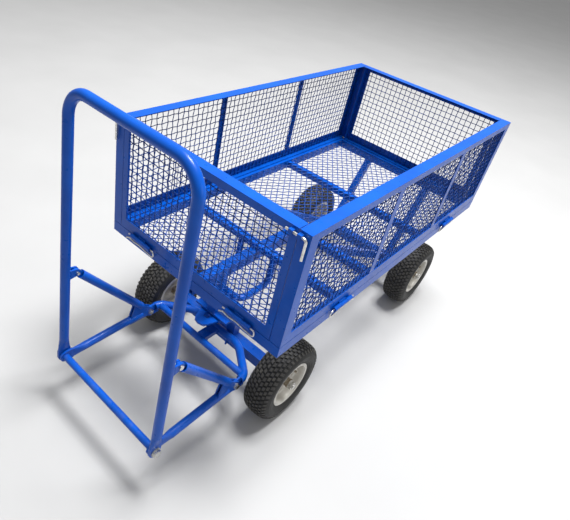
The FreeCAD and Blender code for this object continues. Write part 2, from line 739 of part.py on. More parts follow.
def handle_tube():
    """Handle: one bent tube, its two feet pressed flat for the foot bolts."""
    rise = HANDLE_TOP - FOOT_Z
    top_x = FOOT_X - HANDLE_LEAN * rise
    start_z = FOOT_Z + 74
    start_x = FOOT_X - HANDLE_LEAN * 74
    points = [
        (start_x, -LEG_Y, start_z), (top_x, -LEG_Y, HANDLE_TOP),
        (top_x, LEG_Y, HANDLE_TOP), (start_x, LEG_Y, start_z),
    ]
    tube = bent_tube(points, LEG_R, LEG_WALL, HANDLE_BEND)
    feet = []
    for y in (LEG_Y, -LEG_Y):
        feet.append(flattened_end((start_x, y, start_z), (FOOT_X, y, FOOT_Z), LEG_R, 46, 9, y))
    return fuse([tube] + feet)


def leg_x(z):
    return FOOT_X - HANDLE_LEAN * (z - FOOT_Z)


def clevis():
    """Left clevis: two ears on the back of the handle leg."""
    leg = sweep([(leg_x(400), LEG_Y, 400), (leg_x(700), LEG_Y, 700)], LEG_R, 1.0)
    ears = []
    for low in (LEG_Y - 10.4, LEG_Y + 4.4):
        outline = [
            (CLEVIS_X, CLEVIS_Z - 13), (1058, CLEVIS_Z - 18),
            (1058, CLEVIS_Z + 20), (CLEVIS_X, CLEVIS_Z + 13),
        ]
        plate = plate_xz(outline, low, low + 6)
        eye = rod((CLEVIS_X, low, CLEVIS_Z), (CLEVIS_X, low + 6, CLEVIS_Z), 13)
        hole = rod((CLEVIS_X, low - 1, CLEVIS_Z), (CLEVIS_X, low + 7, CLEVIS_Z), 5.1)
        ears.append(fuse([plate, eye]).cut(hole).cut(leg))
    return ears


def clevis_pin():
    """Left clevis pin with a flat head outside and a ring hole at its tip."""
    pin = rod((CLEVIS_X, LEG_Y - 19, CLEVIS_Z), (CLEVIS_X, LEG_Y + 10.8, CLEVIS_Z), 5.0)
    head = rod((CLEVIS_X, LEG_Y + 10.8, CLEVIS_Z), (CLEVIS_X, LEG_Y + 15, CLEVIS_Z), 8.0)
    hole = rod((CLEVIS_X, LEG_Y - 15.5, CLEVIS_Z - 9), (CLEVIS_X, LEG_Y - 15.5, CLEVIS_Z + 9), 1.6)
    return fuse([pin, head]).cut(hole)


def foot_bolts():
    """Left foot bolt: hex head and large washer outside, washer between link and handle."""
    x, z = FOOT_X, FOOT_Z
    outer = LEG_Y + 4.6
    way = rod((x, LINK_Y - 30, z), (x, outer + 30, z), 8)
    washer = rod((x, outer, z), (x, outer + 3, z), 17).cut(way)
    head = hex_prism((x, outer + 3, z), (0, 1, 0), 24, 10)
    bolt = fuse([head, rod((x, LINK_Y - 40, z), (x, outer + 3, z), 8)])
    middle = rod((x, LINK_Y + 4.7, z), (x, LEG_Y - 4.7, z), 15).cut(way)
    return [bolt, washer, middle]


def foot_cross_tube():
    """Tube between the feet of the lower links; the foot bolts run into its ends."""
    end = LINK_Y - 4.6
    tube = rod((FOOT_X, -end, FOOT_Z), (FOOT_X, end, FOOT_Z), 12.5)
    return tube.cut(rod((FOOT_X, -end - 1, FOOT_Z), (FOOT_X, end + 1, FOOT_Z), 8.05))


# ---------------------------------------------------------------- write the nodes

SIDES = {
    "left": ((-HINGE_AT_SIDE, HINGE_AT_SIDE), HALF_W, HALF_L, FLANGE),
    "right": ((-HINGE_AT_SIDE, HINGE_AT_SIDE), HALF_W, HALF_L, FLANGE),
    "front": ((-HINGE_AT_END, HINGE_AT_END), HALF_L, HALF_W - FLANGE - PANEL_GAP, END_POST),
    "rear": ((-HINGE_AT_END, HINGE_AT_END), HALF_L, HALF_W - FLANGE - PANEL_GAP, END_POST),
}

save("deck_frame", deck_frame())
save("deck_mesh", deck_mesh())

hinge_tubes = []
for side, (centres, face, half_length, post) in SIDES.items():
    hinge_tubes += [turned(s, side) for s in deck_knuckles(centres, face)]
    frame = [turned(panel_frame(half_length, face, post), side)]
    if side in ("left", "right"):
        frame += [turned(s, side) for s in panel_bars(face)]
    save("panel_mesh_" + side, [turned(s, side) for s in panel_mesh(half_length, face)])
    frame += [turned(s, side) for s in panel_knuckles(centres, face)]
    y = 1 if side == "left" else -1
    if side in ("left", "right"):
        for x in (1, -1):
            frame.append(latch_eye(x * (HALF_L + 7.5), y * 370, x))
    else:
        x = 1 if side == "front" else -1
        for y in (1, -1):
            frame.append(latch_eye(x * (HALF_L + 7.5), y * 341, x))
    save("panel_frame_" + side, frame)
    for number, centre in enumerate(centres, 1):
        clip = r_clip(centre, face)
        if side in ("front", "rear"):
            clip = mirrored_x(r_clip(-centre, face))
        save("r_clip_%s_%d" % (side, number), turned(clip, side))
save("deck_hinge_tubes", hinge_tubes)

for x, fore_aft in ((1, "front"), (-1, "rear")):
    for y, hand in ((1, "left"), (-1, "right")):
        save("latch_rod_%s_%s" % (fore_aft, hand), latch_rod(x, y))

for fore_aft, x in (("front", FRONT_X), ("rear", REAR_X)):
    beam = axle_beam(x)
    save("axle_beam_" + fore_aft, [beam] + loop_tabs() if fore_aft == "front" else beam)
    save("axle_shafts_" + fore_aft, axle_shafts(x))
    for hand, side in (("left", 1), ("right", -1)):
        y = side * WHEEL_Y
        label = fore_aft + "_" + hand
        save("tyre_" + label, tyre(x, y))
        save("rim_" + label, rim(x, y, side))
        save("hub_" + label, hub(x, y, side))

save("rear_axle_stays", rear_stays())
save("turntable_support", front_support())
save("kingpin", kingpin())

save("turntable_plate", turntable_plate())
post_foot = WHEEL_R + BEAM / 2
save("turntable_posts", [upright(FRONT_X, y, post_foot, LOWER_PLATE_Z, 36, 3) for y in (-55, 55)])
save("drawbar_loop", drawbar_loop())
save("drawbar_cross_tube", drawbar_cross())
save("drawbar_tongue", drawbar_tongue())

save("lower_links", both_sides(lower_link()))
save("upper_links", both_sides(upper_link()))
save("foot_cross_tube", foot_cross_tube())
save("link_gussets", sum((both_sides(g) for g in gussets()), []))
save("drawbar_pivot_bolts", sum((both_sides(b) for b in pivot_bolts()), []))

save("handle_tube", handle_tube())
save("handle_clevises", sum((both_sides(e) for e in clevis()), []))
save("foot_bolts", sum((both_sides(b) for b in foot_bolts()), []))
save("clevis_pin_left", clevis_pin())
save("clevis_pin_right", mirrored_y(clevis_pin()))
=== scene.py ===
import bmesh
import bpy
import json
import math
import numpy as np
from mathutils import Matrix, Vector


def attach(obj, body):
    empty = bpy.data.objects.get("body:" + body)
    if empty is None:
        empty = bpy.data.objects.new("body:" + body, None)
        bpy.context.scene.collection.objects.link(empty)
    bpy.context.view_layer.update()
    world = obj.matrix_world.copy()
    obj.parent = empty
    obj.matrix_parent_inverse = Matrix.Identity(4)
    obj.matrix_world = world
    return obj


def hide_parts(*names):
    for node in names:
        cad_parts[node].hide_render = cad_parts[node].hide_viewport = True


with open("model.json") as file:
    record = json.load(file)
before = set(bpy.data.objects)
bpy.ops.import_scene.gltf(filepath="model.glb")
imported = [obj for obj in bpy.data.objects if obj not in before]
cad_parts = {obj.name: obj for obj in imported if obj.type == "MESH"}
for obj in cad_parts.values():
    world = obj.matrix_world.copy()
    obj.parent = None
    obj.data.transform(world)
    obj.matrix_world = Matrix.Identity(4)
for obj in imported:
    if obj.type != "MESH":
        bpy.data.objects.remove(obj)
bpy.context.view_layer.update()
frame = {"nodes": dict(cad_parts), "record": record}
scene = bpy.context.scene

# sizes in metres, the CAD model's but for the wire, which is 3.4 mm here and 3.0 mm there
FACE_X, FACE_Y = 0.760, 0.400
RAIL = 0.040
PANEL_LOW, PANEL_HIGH = 0.562, 0.970
ANGLE_WALL = 0.003
WIRE = 0.0034
PITCH = 0.025
MESH_DEPTH = 0.0063
DECK_MESH_Z = 0.5543
MEMBERS = (-0.250, 0.180, 0.400)
FLOOR_SLOPE = math.radians(35)
WHEEL_R = 0.165
WHEEL_Y = 0.316
VALVE_BACK, VALVE_UP = 0.038, 0.030
AXLES = {"front": 0.520, "rear": -0.530}
SIDES = {"left": 1, "right": -1}
HINGE_AT_SIDE, HINGE_AT_END = 0.43, 0.237
BAR_AT = 0.253
LATCH_EYE_ENDS = (0.9478, 0.9622)
LOOP_Z = 0.1975
PIVOT_X = 0.705
FOOT_X, FOOT_Z = 1.074, 0.190
LINK_Y = 0.238


# ---------------------------------------------------------------- materials

def new_material(name):
    """Empty node material with a Principled shader."""
    material = bpy.data.materials.new(name)
    material.use_nodes = True
    tree = material.node_tree
    tree.nodes.clear()
    output = tree.nodes.new("ShaderNodeOutputMaterial")
    shader = tree.nodes.new("ShaderNodeBsdfPrincipled")
    tree.links.new(shader.outputs["BSDF"], output.inputs["Surface"])
    return material, tree, shader


def noise(tree, coordinates, scale, detail=4.0, rough=0.5):
    """Noise texture in object space."""
    node = tree.nodes.new("ShaderNodeTexNoise")
    node.inputs["Scale"].default_value = scale
    node.inputs["Detail"].default_value = detail
    node.inputs["Roughness"].default_value = rough
    tree.links.new(coordinates.outputs["Object"], node.inputs["Vector"])
    return node.outputs["Fac"]


def ramp(tree, factor, stops):
    """Colour ramp through (position, colour) stops."""
    node = tree.nodes.new("ShaderNodeValToRGB")
    elements = node.color_ramp.elements
    elements[0].position, elements[0].color = stops[0][0], (*stops[0][1], 1)
    elements[1].position, elements[1].color = stops[-1][0], (*stops[-1][1], 1)
    for position, colour in stops[1:-1]:
        element = elements.new(position)
        element.color = (*colour, 1)
    tree.links.new(factor, node.inputs["Fac"])
    return node.outputs["Color"]


def grey(value):
    """Neutral colour of one brightness."""
    return (value, value, value)


def mix(tree, factor, first, second):
    """Mix two colours; each is a socket or a plain colour."""
    node = tree.nodes.new("ShaderNodeMix")
    node.data_type = "RGBA"
    for value, socket in ((factor, node.inputs[0]), (first, node.inputs[6]), (second, node.inputs[7])):
        if isinstance(value, bpy.types.NodeSocket):
            tree.links.new(value, socket)
        elif isinstance(value, tuple):
            socket.default_value = (*value, 1)
        else:
            socket.default_value = value
    return node.outputs[2]


def bump(tree, height, strength, distance, normal=None):
    """Bump from a height socket, on top of another normal if one is given."""
    node = tree.nodes.new("ShaderNodeBump")
    node.inputs["Strength"].default_value = strength
    node.inputs["Distance"].default_value = distance
    tree.links.new(height, node.inputs["Height"])
    if normal:
        tree.links.new(normal, node.inputs["Normal"])
    return node.outputs["Normal"]


def soft_edges(tree, radius):
    """Normal that rounds the edges of a shape."""
    node = tree.nodes.new("ShaderNodeBevel")
    node.samples = 4
    node.inputs["Radius"].default_value = radius
    return node.outputs["Normal"]


def paint_material(name, colour, deep, edge, coat=0.10, coat_rough=0.08):
    """Glossy powder coat: thicker and thinner colour, orange peel, rounded edges and a little dust."""
    material, tree, shader = new_material(name)
    place = tree.nodes.new("ShaderNodeTexCoord")
    broad = noise(tree, place, 9.0, 3.0)
    tone = ramp(tree, broad, [(0.3, deep), (0.7, colour)])
    dusty = noise(tree, place, 24.0, 6.0, 0.65)
    height = tree.nodes.new("ShaderNodeSeparateXYZ")
    tree.links.new(place.outputs["Object"], height.inputs[0])
    low = tree.nodes.new("ShaderNodeMapRange")
    low.inputs["From Min"].default_value = 0.34
    low.inputs["From Max"].default_value = 0.06
    low.inputs["To Max"].default_value = 0.45
    tree.links.new(height.outputs["Z"], low.inputs["Value"])
    dust = tree.nodes.new("ShaderNodeMath")
    dust.operation = "MULTIPLY"
    tree.links.new(low.outputs["Result"], dust.inputs[0])
    tree.links.new(ramp(tree, dusty, [(0.48, grey(0)), (0.75, grey(0.7))]), dust.inputs[1])
    tone = mix(tree, dust.outputs[0], tone, (0.22, 0.20, 0.17))
    tree.links.new(tone, shader.inputs["Base Color"])
    rough = ramp(tree, noise(tree, place, 40.0, 5.0), [(0.3, grey(0.26)), (0.75, grey(0.40))])
    tree.links.new(rough, shader.inputs["Roughness"])
    shader.inputs["IOR"].default_value = 1.28
    shader.inputs["Coat Weight"].default_value = coat
    shader.inputs["Coat Roughness"].default_value = coat_rough
    peel = noise(tree, place, 420.0, 2.0)
    normal = bump(tree, peel, 0.10, 0.0006, soft_edges(tree, edge))
    tree.links.new(normal, shader.inputs["Normal"])
    return material


def metal_material(name, bright, dark, rough_low, rough_high):
    """Plated or plain steel with cloudy tone, fine grain and soft edges."""
    material, tree, shader = new_material(name)
    place = tree.nodes.new("ShaderNodeTexCoord")
    cloudy = noise(tree, place, 60.0, 6.0, 0.6)
    tree.links.new(ramp(tree, cloudy, [(0.32, dark), (0.62, bright)]), shader.inputs["Base Color"])
    shader.inputs["Metallic"].default_value = 1.0
    grain = noise(tree, place, 360.0, 3.0)
    rough = ramp(tree, grain, [(0.3, grey(rough_low)), (0.7, grey(rough_high))])
    tree.links.new(rough, shader.inputs["Roughness"])
    normal = bump(tree, grain, 0.12, 0.0004, soft_edges(tree, 0.0006))
    tree.links.new(normal, shader.inputs["Normal"])
    return material


def rubber_material():
    """Black tyre rubber, with a fine grain and grey dust that is thickest on top of the tread blocks."""
    material, tree, shader = new_material("tyre_rubber")
    place = tree.nodes.new("ShaderNodeTexCoord")
    dusty = noise(tree, place, 30.0, 8.0, 0.65)
    wall_stops = [(0.35, grey(0.008)), (0.60, grey(0.016)), (0.80, (0.040, 0.038, 0.034))]
    top_stops = [(0.30, grey(0.020)), (0.55, (0.055, 0.053, 0.049)), (0.80, (0.11, 0.104, 0.092))]
    walls = ramp(tree, dusty, wall_stops)
    tops = ramp(tree, dusty, top_stops)
    worn = tree.nodes.new("ShaderNodeAttribute")
    worn.attribute_name = "tread_top"
    tone = mix(tree, worn.outputs["Fac"], walls, tops)
    tree.links.new(tone, shader.inputs["Base Color"])
    tree.links.new(ramp(tree, dusty, [(0.3, grey(0.50)), (0.7, grey(0.75))]), shader.inputs["Roughness"])
    shader.inputs["Specular IOR Level"].default_value = 0.4
    grain = noise(tree, place, 700.0, 3.0)
    tree.links.new(bump(tree, grain, 0.25, 0.0005), shader.inputs["Normal"])
    return material


def rim_material():
    """Cream wheel paint, faintly uneven, with grime in the hollow near the hub."""
    material, tree, shader = new_material("rim_paint")
    place = tree.nodes.new("ShaderNodeTexCoord")
    cream = [(0.3, (0.44, 0.42, 0.38)), (0.7, (0.58, 0.56, 0.51))]
    tone = ramp(tree, noise(tree, place, 14.0, 4.0), cream)
    radius = tree.nodes.new("ShaderNodeVectorMath")
    radius.operation = "LENGTH"
    flat = tree.nodes.new("ShaderNodeMapping")
    flat.inputs["Scale"].default_value = (1, 0, 1)
    tree.links.new(place.outputs["Object"], flat.inputs["Vector"])
    tree.links.new(flat.outputs["Vector"], radius.inputs[0])
    near = tree.nodes.new("ShaderNodeMapRange")
    near.inputs["From Min"].default_value = 0.046
    near.inputs["From Max"].default_value = 0.022
    tree.links.new(radius.outputs["Value"], near.inputs["Value"])
    grime = tree.nodes.new("ShaderNodeMath")
    grime.operation = "MULTIPLY"
    tree.links.new(near.outputs["Result"], grime.inputs[0])
    patches = ramp(tree, noise(tree, place, 60.0, 6.0), [(0.35, grey(0.1)), (0.65, grey(0.75))])
    tree.links.new(patches, grime.inputs[1])
    tone = mix(tree, grime.outputs[0], tone, (0.16, 0.10, 0.055))
    tree.links.new(tone, shader.inputs["Base Color"])
    rough = ramp(tree, noise(tree, place, 50.0), [(0.3, grey(0.28)), (0.7, grey(0.42))])
    tree.links.new(rough, shader.inputs["Roughness"])
    shader.inputs["Coat Weight"].default_value = 0.3
    tree.links.new(bump(tree, noise(tree, place, 350.0, 2.0), 0.08, 0.0005), shader.inputs["Normal"])
    return material


MATERIALS = {
    "blue_paint": paint_material("blue_paint", (0.0010, 0.082, 0.46), (0.0007, 0.062, 0.37), 0.0016),
    # Woven wire mesh: the frames' blue paint made much darker as painted shade, for the shade the thin wires
    # sit in.
    "mesh_paint": paint_material(
        "mesh_paint", (0.001, 0.050, 0.28), (0.0006, 0.030, 0.18), 0.0004, 0.05, 0.2,
    ),
    "rim_paint": rim_material(),
    "tyre": rubber_material(),
    "hub_steel": metal_material("hub_steel", (0.50, 0.46, 0.38), (0.22, 0.17, 0.12), 0.30, 0.50),
    "zinc": metal_material("zinc", (0.78, 0.77, 0.73), (0.52, 0.50, 0.45), 0.22, 0.40),
    "bolt_steel": metal_material("bolt_steel", (0.66, 0.66, 0.64), (0.42, 0.41, 0.38), 0.20, 0.38),
}

for subpart in frame["record"]["subparts"]:
    node = frame["nodes"][subpart["node"]]
    node.data.materials.clear()
    node.data.materials.append(MATERIALS[subpart["material_slot"]])


# ---------------------------------------------------------------- mesh building

class Build:
    """Collects vertices and faces, then makes one mesh object."""

    def __init__(self):
        self.points, self.faces, self.tops, self.count = [], [], [], 0

    def add(self, points, faces, tops=None):
        """Points and quads; tops is 1 where a point is on a tread block's worn top."""
        self.points.append(points)
        self.faces.append(faces + self.count)
        self.tops.append(np.zeros(len(points)) if tops is None else tops)
        self.count += len(points)

    def finish(self, name, slot):
        """Link a smooth-shaded object made of everything added so far."""
        points = np.concatenate(self.points)
        quads = np.concatenate(self.faces)
        mesh = bpy.data.meshes.new(name)
        mesh.from_pydata(points.tolist(), [], [tuple(dict.fromkeys(f)) for f in quads.tolist()])
        mesh.polygons.foreach_set("use_smooth", np.full(len(mesh.polygons), True))
        mesh.materials.append(MATERIALS[slot])
        piece = bpy.data.objects.new(name, mesh)
        scene.collection.objects.link(piece)
        return piece


def tube(build, path, side, normal, radius):
    """Six-sided wire along nearly straight path points, with end caps. side and normal span its section."""
    sides = 6
    angles = np.arange(sides) * 2 * math.pi / sides
    ring = np.outer(np.cos(angles), side) + np.outer(np.sin(angles), normal)
    points = (path[:, None, :] + ring[None] * radius).reshape(-1, 3)
    start = np.arange(len(path) - 1)[:, None] * sides
    here = np.arange(sides)[None]
    after = (here + 1) % sides
    corners = [start + here, start + after, start + sides + after, start + sides + here]
    quads = np.stack(corners, -1).reshape(-1, 4)
    last = (len(path) - 1) * sides
    caps = []
    for base, order in ((0, -1), (last, 1)):
        idx = np.arange(sides)[::order] + base
        caps += [[idx[0], idx[k], idx[k + 1], idx[k + 1]] for k in range(1, sides - 1)]
    build.add(points, np.concatenate([quads, np.array(caps)]))


def unit(vector):
    """Vector of length 1."""
    vector = np.asarray(vector, float)
    return vector / np.linalg.norm(vector)


def crimped(build, start, end, step, first, phase, normal):
    """Crimped wire from start to end; it crosses another wire every step, first at the given distance."""
    start, end = np.asarray(start, float), np.asarray(end, float)
    along = unit(end - start)
    length = np.linalg.norm(end - start)
    points_per_step = 4
    count = max(2, round(length / step * points_per_step)) + 1
    distance = np.linspace(0, length, count)
    wave = (WIRE / 2 + 0.0001) * np.cos(math.pi * (distance - first) / step + math.pi * phase)
    path = start + along * distance[:, None] + np.asarray(normal) * wave[:, None]
    tube(build, path, np.cross(normal, along), np.asarray(normal, float), WIRE / 2)


def spaced(low, high, count):
    """Evenly spaced values from low to high."""
    return [low + (high - low) * n / (count - 1) for n in range(count)]


def panel_mesh(name, half, side_axis, face, sign):
    """Square crimped mesh of one panel. side_axis is the panel's long axis, face its outer distance."""
    low, high = PANEL_LOW + ANGLE_WALL + 0.0003, PANEL_HIGH - ANGLE_WALL - 0.0003
    end = half - ANGLE_WALL - 0.0003
    columns = spaced(-end + PITCH / 2, end - PITCH / 2, round(2 * end / PITCH))
    rows = spaced(low + PITCH / 2, high - PITCH / 2, round((high - low) / PITCH))
    step_u, step_z = columns[1] - columns[0], rows[1] - rows[0]
    depth = sign * (face - MESH_DEPTH)
    build = Build()
    normal = (0, 1, 0) if side_axis == 0 else (1, 0, 0)

    def at(u, z):
        return (u, depth, z) if side_axis == 0 else (depth, u, z)

    for j, z in enumerate(rows):
        crimped(build, at(-end, z), at(end, z), step_u, columns[0] + end, j, normal)
    for i, u in enumerate(columns):
        crimped(build, at(u, low), at(u, high), step_z, rows[0] - low, i + 1, normal)
    piece = build.finish("woven_" + name, "mesh_paint")
    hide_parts("panel_mesh_" + name)
    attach(piece, "panel_" + name)


def floor_mesh():
    """Floor mesh woven in long diamonds."""
    half_x, half_y = FACE_X - RAIL - 0.0015, FACE_Y - RAIL - 0.0015
    dx, dy = math.cos(FLOOR_SLOPE), math.sin(FLOOR_SLOPE)
    reach = half_x * dy + half_y * dx - PITCH / 2
    offsets = spaced(-reach, reach, round(2 * reach / PITCH) + 1)
    gap = offsets[1] - offsets[0]
    step = gap / math.sin(2 * FLOOR_SLOPE)
    build = Build()
    for sign in (1, -1):
        ey = sign * dy
        for j, offset in enumerate(offsets):
            low = max((-half_x + offset * ey) / dx, (-half_y * sign - offset * dx) / ey)
            high = min((half_x + offset * ey) / dx, (half_y * sign - offset * dx) / ey)
            ends = [(t * dx - offset * ey, t * ey + offset * dx, DECK_MESH_Z) for t in (low, high)]
            crossing = 2 * FLOOR_SLOPE
            first = (offsets[0] * sign - sign * offset * math.cos(crossing)) / math.sin(crossing)
            phase = j if sign > 0 else j + len(offsets)
            crimped(build, ends[0], ends[1], step, first - low, phase, (0, 0, 1))
    piece = build.finish("woven_floor", "mesh_paint")
    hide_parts("deck_mesh")
    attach(piece, "chassis")


panel_mesh("left", FACE_X, 0, FACE_Y, 1)
panel_mesh("right", FACE_X, 0, FACE_Y, -1)
panel_mesh("front", FACE_Y - RAIL - 0.002, 1, FACE_X, 1)
panel_mesh("rear", FACE_Y - RAIL - 0.002, 1, FACE_X, -1)
floor_mesh()


# ---------------------------------------------------------------- wheels

def smooth_profile(points, per_span):
    """Catmull-Rom curve through profile points."""
    points = np.asarray(points, float)
    padded = np.concatenate([[2 * points[0] - points[1]], points, [2 * points[-1] - points[-2]]])
    curve = []
    for a, b, c, d in zip(padded, padded[1:], padded[2:], padded[3:]):
        for n in range(per_span):
            t = n / per_span
            square = (2 * a - 5 * b + 4 * c - d) * t * t
            cube = (3 * b - a - 3 * c + d) * t ** 3
            curve.append(0.5 * (2 * b + (c - a) * t + square + cube))
    curve.append(points[-1])
    return np.array(curve)


def lathe(build, profile, segments=144):
    """Surface of revolution about Y through the origin; the profile is (y, radius) points."""
    profile = np.asarray(profile)
    angle = np.arange(segments) * 2 * math.pi / segments
    x = profile[:, 1][:, None] * np.cos(angle)
    z = profile[:, 1][:, None] * np.sin(angle)
    y = np.broadcast_to(profile[:, 0][:, None], x.shape)
    points = np.stack([x, y, z], -1).reshape(-1, 3)
    row = np.arange(len(profile) - 1)[:, None] * segments
    here = np.arange(segments)[None]
    after = (here + 1) % segments
    quads = np.stack([row + here, row + segments + here, row + segments + after, row + after], -1)
    build.add(points, quads.reshape(-1, 4))


CROWN = [
    (0.0, 0.165), (0.008, 0.165), (0.018, 0.1644), (0.026, 0.1635), (0.033, 0.1620), (0.038, 0.1605),
    (0.043, 0.1580), (0.046, 0.1560), (0.050, 0.1520), (0.053, 0.1480), (0.0555, 0.1425), (0.0568, 0.1365),
]


def crown_radius(y):
    """Radius of the tread at a distance from the tyre's middle."""
    ys, rs = zip(*CROWN)
    return float(np.interp(abs(y), ys, rs))


def tread_block(build, y0, y1, a0, a1, base, skew):
    """One tread block between two widths and two angles, chamfered round its top."""
    chamfer = 0.0009
    inset_y = chamfer if y1 > y0 else -chamfer
    inset_a = chamfer / WHEEL_R
    rings = []
    for drop, grow in ((base, 0.0), (0.0010, 0.0), (0.0, 1.0)):
        corners = []
        for y, a, sy, sa in ((y0, a0, 1, 1), (y1, a0, -1, 1), (y1, a1, -1, -1), (y0, a1, 1, -1)):
            yy = y + sy * inset_y * grow
            aa = a + sa * inset_a * grow + skew * (yy - (y0 + y1) / 2)
            slope = (crown_radius(abs(yy) + 0.001) - crown_radius(abs(yy) - 0.001)) / 0.002
            lean = math.atan(-slope)
            r = crown_radius(yy) - drop * math.cos(lean)
            yy -= math.copysign(drop * math.sin(lean), yy)
            corners.append((r * math.cos(aa), yy, r * math.sin(aa)))
        rings.append(corners)
    points = np.array(rings).reshape(-1, 3)
    faces = []
    for level in (0, 4):
        for k in range(4):
            n = (k + 1) % 4
            faces.append([level + k, level + n, level + 4 + n, level + 4 + k])
    faces.append([8, 9, 10, 11])
    if y1 < y0:
        faces = [f[::-1] for f in faces]
    build.add(points, np.array(faces), np.repeat([0.0, 0.6, 1.0], 4))


def tyre_mesh():
    """Turf tyre: carcass with ribbed walls, and rows of staggered blocks."""
    build = Build()
    half = [
        (0.0, 0.1604), (0.026, 0.1590), (0.038, 0.1560), (0.045, 0.1522), (0.050, 0.1470),
        (0.0535, 0.1412), (0.0556, 0.1370), (0.0566, 0.1345), (0.0570, 0.1325), (0.0564, 0.1305),
        (0.0564, 0.1240), (0.0558, 0.1190), (0.0545, 0.1140), (0.0530, 0.1105), (0.0532, 0.1085),
        (0.0520, 0.1068), (0.0498, 0.1035), (0.0478, 0.1000), (0.0470, 0.0985), (0.0455, 0.0968),
        (0.0447, 0.0950), (0.0445, 0.0900), (0.0440, 0.0835),
    ]
    curve = smooth_profile(half, 3)
    mirrored = curve[::-1] * (-1, 1)
    lathe(build, np.concatenate([mirrored[:-1], curve]))
    count = 50
    step = 2 * math.pi / count
    rows = [
        (0.0020, 0.0122, 0.0, 0.64), (0.0160, 0.0258, 0.5, 0.62),
        (0.0296, 0.0386, 0.0, 0.62), (0.0422, 0.0524, 0.5, 0.55),
    ]
    depth, skew = 0.0052, 2.2
    for low, high, shift, fill in rows:
        reach = fill * step / 2
        for side in (1, -1):
            offset = shift if side > 0 else shift + 0.25
            for n in range(count):
                middle = (n + offset) * step
                start, end = middle - reach, middle + reach
                tread_block(build, side * low, side * high, start, end, depth, side * skew)
    shape = build.finish("tyre_shape", "tyre")
    mesh = shape.data
    tops = mesh.attributes.new("tread_top", "FLOAT", "POINT")
    tops.data.foreach_set("value", np.concatenate(build.tops))
    bpy.data.objects.remove(shape)
    mesh.set_sharp_from_angle(angle=math.radians(35))
    return mesh


def valve_opening(mesh, hole_x):
    """Open an upright oval in the outer disc: faces inside it go, and the points at its rim move onto it."""
    shape = bmesh.new()
    shape.from_mesh(mesh)
    half_x, half_z = 0.0085, 0.0110

    def inside(point):
        return math.hypot((point.x - hole_x) / half_x, (point.z - VALVE_UP) / half_z)

    gone = {v for v in shape.verts if v.co.y > 0 and inside(v.co) < 1}
    open_faces = [f for f in shape.faces if all(v in gone for v in f.verts)]
    bmesh.ops.delete(shape, geom=open_faces, context="FACES")
    for vert in shape.verts:
        near = inside(vert.co)
        if vert.is_boundary and vert.co.y > 0 and near < 1.25:
            vert.co.x = hole_x + (vert.co.x - hole_x) / near
            vert.co.z = VALVE_UP + (vert.co.z - VALVE_UP) / near
    shape.to_mesh(mesh)
    shape.free()


def rim_mesh(hole_x):
    """Pressed sheet rim: flanges and two dished discs, the outer one open round the valve."""
    build = Build()
    outer = [
        (0.0448, 0.0835), (0.0449, 0.0915), (0.0455, 0.0945), (0.0468, 0.0950), (0.0473, 0.0938),
        (0.0470, 0.0900), (0.0462, 0.0860), (0.0440, 0.0828), (0.0400, 0.0806), (0.0340, 0.0795),
        (0.0240, 0.0788), (0.0170, 0.0770), (0.0145, 0.0725), (0.0120, 0.0702), (0.0070, 0.0690),
        (0.0046, 0.0665), (0.0042, 0.0610), (0.0050, 0.0560), (0.0075, 0.0490), (0.0115, 0.0400),
        (0.0165, 0.0350), (0.0215, 0.0320), (0.0240, 0.0290), (0.0243, 0.0240), (0.0243, 0.0176),
    ]
    inner = [
        (-0.0448, 0.0835), (-0.0449, 0.0915), (-0.0455, 0.0945), (-0.0468, 0.0950), (-0.0473, 0.0938),
        (-0.0470, 0.0900), (-0.0462, 0.0860), (-0.0440, 0.0828), (-0.0400, 0.0806), (-0.0340, 0.0795),
        (-0.0240, 0.0788), (-0.0170, 0.0770), (-0.0145, 0.0725), (-0.0120, 0.0702), (-0.0070, 0.0690),
        (-0.0020, 0.0684), (-0.0016, 0.0640), (-0.0020, 0.0560), (-0.0060, 0.0430), (-0.0140, 0.0350),
        (-0.0210, 0.0305), (-0.0240, 0.0285), (-0.0240, 0.0240), (-0.0240, 0.0176),
    ]
    lathe(build, smooth_profile(outer, 4), 96)
    lathe(build, smooth_profile(inner, 4)[::-1], 96)
    shape = build.finish("rim_shape", "rim_paint")
    valve_opening(shape.data, hole_x)
    thick = shape.modifiers.new("sheet", "SOLIDIFY")
    thick.thickness = 0.0016
    thick.offset = -1
    bpy.context.view_layer.update()
    evaluated = shape.evaluated_get(bpy.context.evaluated_depsgraph_get())
    mesh = bpy.data.meshes.new_from_object(evaluated)
    mesh.name = "rim_shape"
    bpy.data.objects.remove(shape)
    mesh.set_sharp_from_angle(angle=math.radians(40))
    return mesh


tyre_shape = tyre_mesh()
rim_shapes = {hand: rim_mesh(-side * VALVE_BACK) for hand, side in SIDES.items()}
for axle, x in AXLES.items():
    for hand, side in SIDES.items():
        label = axle + "_" + hand
        shapes = (("tyre", tyre_shape, "tyre"), ("rim", rim_shapes[hand], "rim_paint"))
        for kind, mesh, slot in shapes:
            piece = bpy.data.objects.new("wheel_%s_%s" % (kind, label), mesh)
            scene.collection.objects.link(piece)
            piece.location = (x, side * WHEEL_Y, WHEEL_R)
            piece.rotation_euler = (0, 0, 0 if side > 0 else math.pi)
            bpy.context.view_layer.update()
            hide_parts(kind + "_" + label)
            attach(piece, "wheel_" + label)


# ---------------------------------------------------------------- weld beads

